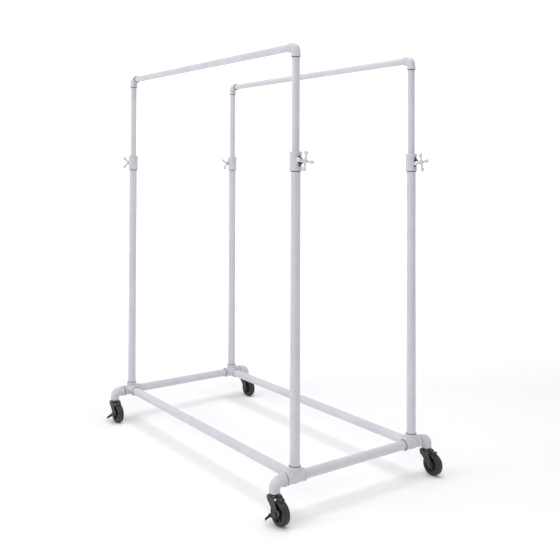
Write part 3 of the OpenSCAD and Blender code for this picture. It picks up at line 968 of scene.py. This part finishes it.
def bolt_field(p, head_at):
    """The axle bolt, its washer, its bush and its self-locking nut, along Y."""
    outer = LEG_INNER + LEG_T
    body = rod(p, (0, outer + 4.3, 0), (0, -head_at, 0), AXLE_R, 0.5)
    body = fuse(body, rod(p, (0, LEG_INNER, 0), (0, -LEG_INNER, 0), BUSH_R))
    body = fuse(body, hexagon(p, 1, -head_at - 4.5, -head_at - 0.9, 13))
    body = fuse(body, rod(p, (0, -head_at, 0), (0, -head_at - 1, 0), 7.3, 0.3))
    body = fuse(body, hexagon(p, 1, outer, outer + 3.4, 13))
    return fuse(body, rod(p, (0, outer + 3, 0), (0, outer + 4.5, 0), 5.2, 0.6))


def wheel_core_field(p):
    """Moulded centre: hub, dished web, six ribs and the rim that carries the tread."""
    x, y, z = p[..., 0], np.abs(p[..., 1]), p[..., 2]
    radial = np.hypot(x, z)
    rim = WHEEL_R - 8.5
    ring = np.maximum(np.abs(radial - (rim - 2.6)) - 2.6, y - 11.2)
    web = np.maximum(np.maximum(radial - rim, 11 - radial), y - 4.2 - 0.01 * (radial - 15) ** 2)
    hub = rod(p, (0, -LEG_INNER + 0.8, 0), (0, LEG_INNER - 0.8, 0), 11.5, 1)
    core = fuse(fuse(hub, web, 2), ring, 1.5)
    for k in range(6):
        angle = math.pi * k / 3
        across = np.abs(x * math.sin(angle) - z * math.cos(angle)) - 1.3
        along = x * math.cos(angle) + z * math.sin(angle)
        rib = np.maximum.reduce([across, along - rim + 1, 9 - along, y - 9.5])
        core = fuse(core, rib, 1.5)
    return cut(core, rod(p, (0, -30, 0), (0, 30, 0), BUSH_R + 0.1))


def tread_outline():
    """The tyre's section: a crowned tread with two grooves round it, and one in each side."""
    inner, outer, half = WHEEL_R - 8.6, WHEEL_R, 12.0
    crown = [(outer - 0.028 * h * h - (1.3 if 5 < abs(h) < 7 else 0), h)
             for h in (-8, -7.2, -6.6, -5.6, -4.8, -2.4, 0, 2.4, 4.8, 5.6, 6.6, 7.2, 8)]
    return np.array([(inner, -half + 0.6), (inner + 1.4, -half), (outer - 5, -half),
                     (outer - 4.2, -half + 1.5), (outer - 3.2, -half + 0.2),
                     (outer - 2.4, -half + 0.7), (outer - 1.1, -half + 2.2), *crown,
                     (outer - 1.1, half - 2.2), (outer - 2.4, half - 0.7), (outer - 3.2, half - 0.2),
                     (outer - 4.2, half - 1.5), (outer - 5, half), (inner + 1.4, half),
                     (inner, half - 0.6)])


CORE_MESH = mesh_of(wheel_core_field, (-WHEEL_R + 6, -LEG_INNER - 1, -WHEEL_R + 6),
                    (WHEEL_R - 6, LEG_INNER + 1, WHEEL_R - 6), 0.7)
TREAD_MESH = placed(turned(eased(tread_outline(), 0.5), 120), turn=ALONG_Y)

for corner in CORNERS:
    stem = pivot(f"{corner}_caster_swivel")
    axle = pivot(f"{corner}_wheel_roll")
    braked = corner.startswith("front")
    head_at = LEG_INNER + LEG_T + (3.0 if braked else 0.0)
    piece(f"{corner}_fork_pressing", placed(FORK_MESH, (stem[0], stem[1], 0)), f"{corner}_swivel",
          ["black"], [f"{corner}_fork"])
    bolt = mesh_of(lambda p: bolt_field(p, head_at), (-8.5, -head_at - 5.5, -8.5), (8.5, 23, 8.5), 0.4)
    piece(f"{corner}_axle_bolt", placed(bolt, axle), f"{corner}_swivel", ["black"],
          [f"{corner}_axle"])
    piece(f"{corner}_wheel_centre", placed(CORE_MESH, axle), f"{corner}_roller", ["centre"])
    piece(f"{corner}_wheel_tread", placed(TREAD_MESH, axle), f"{corner}_roller",
          ["rubber"], [f"{corner}_wheel"])


PEDAL_ROOT = (-28.0, -12.0)
CAM_END = (13.0, 8.0)


def finger(x, z, tip, root_r, tip_r):
    """A tapered arm in the cam plate, from the axle to its tip."""
    t = np.clip((x * tip[0] + z * tip[1]) / (tip[0] ** 2 + tip[1] ** 2), 0, 1)
    return np.hypot(x - tip[0] * t, z - tip[1] * t) - (root_r + (tip_r - root_r) * t)


def brake_field(p):
    """A cam plate on the axle bolt, its arm, and the foot tongue that stands out from it."""
    plate = LEG_INNER + LEG_T + 0.3
    thick = 2.4
    flat = np.maximum(-plate - thick - p[..., 1], p[..., 1] + plate)
    x, z = p[..., 0], p[..., 2]
    disc = np.hypot(x, z) - 11
    arm = finger(x, z, PEDAL_ROOT, 9, 5.8)
    cam = finger(x, z, CAM_END, 10, 8.5)
    outline = fuse(fuse(disc, arm, 3), cam, 2)
    rim = np.abs(outline + 1.2) - 1.1
    body = fuse(np.maximum(outline, flat), np.maximum(rim, np.abs(p[..., 1] + plate + thick) - 0.8), 0.5)
    q = p - np.array([PEDAL_ROOT[0], -plate - 1.2, PEDAL_ROOT[1]])
    lean, twist = math.radians(26), math.radians(15)
    out = np.array([0, -math.cos(lean), -math.sin(lean)])
    up = np.array([math.sin(twist), -math.sin(lean) * math.cos(twist), math.cos(lean) * math.cos(twist)])
    side = np.cross(out, up)
    u, v, w = q @ out, q @ up, q @ (side / np.linalg.norm(side))
    tongue = np.stack([u - 10, v, w + 0.9 * np.cos(v / 5.2) - 0.9], -1)
    tongue = block(tongue, (0, 0, 0), (20.5, 10.5, thick), 1.1)
    ridges = np.hypot((u - 8) % 4 - 2, w + 0.9 * np.cos(v / 5.2) - 2.1) - 0.8
    ridges = np.maximum(ridges, np.maximum(np.abs(v) - 4.2, np.abs(u - 13) - 7))
    body = fuse(fuse(body, tongue, 3), ridges, 0.8)
    return cut(body, rod(p, (0, -30, 0), (0, 0, 0), AXLE_R + 0.1))


BRAKE_MESH = mesh_of(brake_field, (-44, -45, -28), (24, -15, 19), 0.6)

for corner in CORNERS[:2]:
    axle = pivot(f"{corner}_wheel_roll")
    piece(f"{corner}_brake_pedal", placed(BRAKE_MESH, axle), f"{corner}_pedal", ["black"],
          [f"{corner}_brake"])

# ---------------------------------------------------------------- CAD nodes that stay as they are

for node, made in frame["nodes"].items():
    if node == "guide_sleeves":
        made.data.materials.clear()
        made.data.materials.append(MATERIALS["nylon"])
    if node.endswith("clamp_pad"):
        made.data.materials.clear()
        made.data.materials.append(MATERIALS["brass"])

# ---------------------------------------------------------------- camera, floor and light


def view_camera():
    """Nearly level camera, its frame shifted down, seeing the front and the right end."""
    data = bpy.data.cameras.new("view_camera")
    data.sensor_width = 36
    data.lens = 49.70
    data.shift_y = -0.2245
    made = bpy.data.objects.new("view_camera", data)
    bpy.context.scene.collection.objects.link(made)
    heading, pitch, roll = (math.radians(angle) for angle in (53.935, 1.028, 0.192))
    made.matrix_world = (Matrix.Rotation(heading, 4, "Z") @ Matrix.Rotation(math.pi / 2 + pitch, 4, "X")
                         @ Matrix.Rotation(roll, 4, "Z"))
    made.location = (2.5377, -1.7379, 1.0893)
    bpy.context.scene.camera = made


def seamless_floor(radius=9.0, rise=5.0):
    """Paper that runs flat and then curves up all round, so that no edge shows."""
    outline = [(0.001, 0)] + [(radius - rise + rise * math.sin(a), rise - rise * math.cos(a))
                              for a in np.linspace(0, math.pi / 2, 25)]
    sides = 96
    points, faces = [], []
    for k in range(sides):
        angle = 2 * math.pi * k / sides
        points += [(r * math.cos(angle), r * math.sin(angle), z) for r, z in outline]
    count = len(outline)
    for k in range(sides):
        after = (k + 1) % sides
        faces += [(k * count + i, after * count + i, after * count + i + 1, k * count + i + 1)
                  for i in range(count - 1)]
    data = bpy.data.meshes.new("studio_floor")
    data.from_pydata(points, [], [face[::-1] for face in faces])
    data.materials.append(MATERIALS["floor"])
    data.shade_smooth()
    made = bpy.data.objects.new("studio_floor", data)
    bpy.context.scene.collection.objects.link(made)


def soft_box(name, at, target, size, power):
    """A large square white lamp aimed at a point."""
    data = bpy.data.lights.new(name, "AREA")
    data.size = size
    data.energy = power
    made = bpy.data.objects.new(name, data)
    bpy.context.scene.collection.objects.link(made)
    made.location = at
    made.rotation_euler = (Vector(target) - Vector(at)).to_track_quat("-Z", "Y").to_euler()


def studio():
    view_camera()
    seamless_floor()
    soft_box("key_light", (-1.4, -5.0, 3.0), (0, 0, 0.7), 2.6, 84)
    soft_box("top_light", (0.2, 0.2, 4.6), (0.2, 0.2, 0), 3.0, 105)
    soft_box("fill_light", (3.2, -2.4, 3.0), (0, 0, 1.3), 1.8, 28)
    world = bpy.data.worlds.new("studio_air")
    world.use_nodes = True
    air = world.node_tree.nodes["Background"]
    air.inputs["Color"].default_value = linear("#F4F5FA")
    air.inputs["Strength"].default_value = 0.42
    bpy.context.scene.world = world
    bpy.context.scene.view_settings.view_transform = "Standard"


studio()
